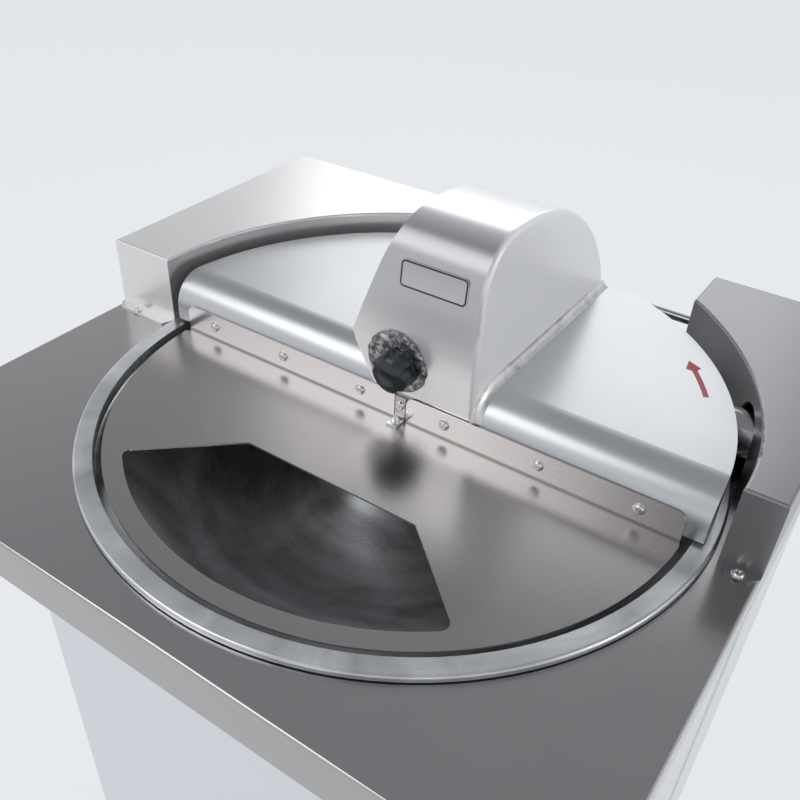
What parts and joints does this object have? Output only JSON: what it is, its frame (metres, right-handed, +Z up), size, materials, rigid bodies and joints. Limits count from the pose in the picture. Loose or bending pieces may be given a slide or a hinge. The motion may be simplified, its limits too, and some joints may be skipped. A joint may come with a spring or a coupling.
{
  "type": "meat bowl cutter",
  "caption": "Bench-height bowl cutter: a shallow turning bowl set in a steel table, curved knives on a cross shaft under a hinged domed lid, belt drive and controls in a cabinet below.",
  "frame": {"origin": "on the floor under the middle of the table", "axes": "+Z up, +X to the operator's right, +Y to the back, towards the lid's hinge"},
  "size_m": [0.768, 0.696, 0.977],
  "materials": {
    "table_sheet": "satin stainless sheet with polished folded edges",
    "guard_sheet": "satin stainless sheet",
    "lid_sheet": "satin stainless sheet with a bright bend",
    "dome_polished": "polished stainless sheet with ground welds",
    "feed_sheet": "matt stainless sheet",
    "bowl_steel": "turned stainless with fine round marks",
    "cabinet_sheet": "satin stainless sheet",
    "knife_steel": "ground blade steel",
    "bright_steel": "turned and polished stainless",
    "fastener": "bright stainless fasteners",
    "bearing_steel": "ground steel",
    "frame_paint": "grey paint on folded and welded steel",
    "cast_grey": "machined grey cast iron",
    "housing_steel": "turned stainless",
    "motor_paint": "blue-grey enamel on aluminium castings",
    "rubber_black": "black rubber",
    "black_plastic": "black moulded plastic",
    "knob_black": "glossy black moulding",
    "scraper_white": "white food-grade plastic",
    "button_green": "green moulded cap",
    "button_red": "red moulded cap",
    "box_steel": "pale grey powder coat"
  },
  "bodies": {
    "cabinet": {"table_top": "table_sheet", "cabinet_shell": "cabinet_sheet", "base_frame": "frame_paint", "feet_pads": "rubber_black", "feet_studs": "bright_steel", "drive_beam": "frame_paint", "bowl_bearing_housing": "cast_grey", "bowl_bearings": "bearing_steel", "housing_bolts": "fastener", "bowl_gearmotor": "motor_paint", "knife_bearing_housing": "housing_steel", "knife_bearings": "bearing_steel", "shaft_seal": "rubber_black", "guard_left": "guard_sheet", "guard_right": "guard_sheet", "guard_screws": "fastener", "hinge_blocks": "bright_steel", "hinge_rod": "bright_steel", "door_hinges": "bright_steel", "door_catches": "black_plastic", "side_cover": "cabinet_sheet", "back_panel": "cabinet_sheet", "cable_gland": "black_plastic", "knife_motor": "motor_paint", "fan_cover": "motor_paint", "motor_slide_plate": "frame_paint", "control_panel": "cabinet_sheet", "button_bezels": "black_plastic", "contact_blocks": "black_plastic", "electrical_box": "box_steel", "drive_belts": "rubber_black"},
    "bowl": {"bowl": "bowl_steel", "bowl_spindle": "bright_steel", "bowl_nut": "bowl_steel", "bowl_drive_screws": "fastener"},
    "knife_rotor": {"knife_shaft": "bright_steel", "knife_left": "knife_steel", "knife_middle": "knife_steel", "knife_right": "knife_steel", "knife_spacers": "knife_steel", "knife_nut": "bright_steel", "knife_pulley": "cast_grey"},
    "motor_rotor": {"motor_shaft": "bearing_steel", "motor_pulley": "cast_grey", "motor_fan": "black_plastic"},
    "lid": {"lid_cover": "lid_sheet", "knife_dome": "dome_polished", "feed_plate": "feed_sheet", "lid_screws": "fastener", "centre_clip": "lid_sheet", "bowl_scraper": "scraper_white"},
    "lid_knob": {"lid_knob": "knob_black"},
    "service_door": {"service_door": "cabinet_sheet", "door_pull": "bright_steel"},
    "bowl_start": {"bowl_start": "button_green"},
    "bowl_stop": {"bowl_stop": "button_red"},
    "knife_start": {"knife_start": "button_green"},
    "knife_stop": {"knife_stop": "button_red"},
    "emergency_stop": {"emergency_stop": "button_red"},
    "speed_selector": {"speed_selector": "black_plastic"}
  },
  "joints": [
    {"name": "bowl_turn", "type": "hinge", "parent": "cabinet", "child": "bowl", "pos_m": [0.0215, 0, 0.762], "axis": [0, 0, 1], "continuous": true},
    {"name": "knife_spin", "type": "hinge", "parent": "cabinet", "child": "knife_rotor", "pos_m": [0.0215, 0.143, 0.796], "axis": [1, 0, 0], "continuous": true},
    {"name": "motor_spin", "type": "hinge", "parent": "cabinet", "child": "motor_rotor", "pos_m": [0.2015, 0.143, 0.202], "axis": [1, 0, 0], "continuous": true},
    {"name": "lid_hinge", "type": "hinge", "parent": "cabinet", "child": "lid", "pos_m": [0.0215, 0.299, 0.807], "axis": [-1, 0, 0], "range_deg": [0, 95]},
    {"name": "knob_turn", "type": "hinge", "parent": "lid", "child": "lid_knob", "pos_m": [0.0215, -0.01, 0.833], "axis": [0, 1, 0], "range_deg": [0, 360]},
    {"name": "door_hinge", "type": "hinge", "parent": "cabinet", "child": "service_door", "pos_m": [-0.2675, 0.238, 0.392], "axis": [0, 0, -1], "range_deg": [0, 110]},
    {"name": "bowl_start_press", "type": "slide", "parent": "cabinet", "child": "bowl_start", "axis": [0, 1, 0], "range_m": [0, 0.004], "stiffness_N_per_m": 500},
    {"name": "bowl_stop_press", "type": "slide", "parent": "cabinet", "child": "bowl_stop", "axis": [0, 1, 0], "range_m": [0, 0.004], "stiffness_N_per_m": 500},
    {"name": "knife_start_press", "type": "slide", "parent": "cabinet", "child": "knife_start", "axis": [0, 1, 0], "range_m": [0, 0.004], "stiffness_N_per_m": 500},
    {"name": "knife_stop_press", "type": "slide", "parent": "cabinet", "child": "knife_stop", "axis": [0, 1, 0], "range_m": [0, 0.004], "stiffness_N_per_m": 500},
    {"name": "emergency_stop_press", "type": "slide", "parent": "cabinet", "child": "emergency_stop", "axis": [0, 1, 0], "range_m": [0, 0.005]},
    {"name": "speed_selector_turn", "type": "hinge", "parent": "cabinet", "child": "speed_selector", "pos_m": [0.2915, -0.28, 0.547], "axis": [0, 1, 0], "range_deg": [0, 60]}
  ],
  "couplings": [
    {"joint": "motor_spin", "follows": "knife_spin", "ratio": 0.57143}
  ]
}
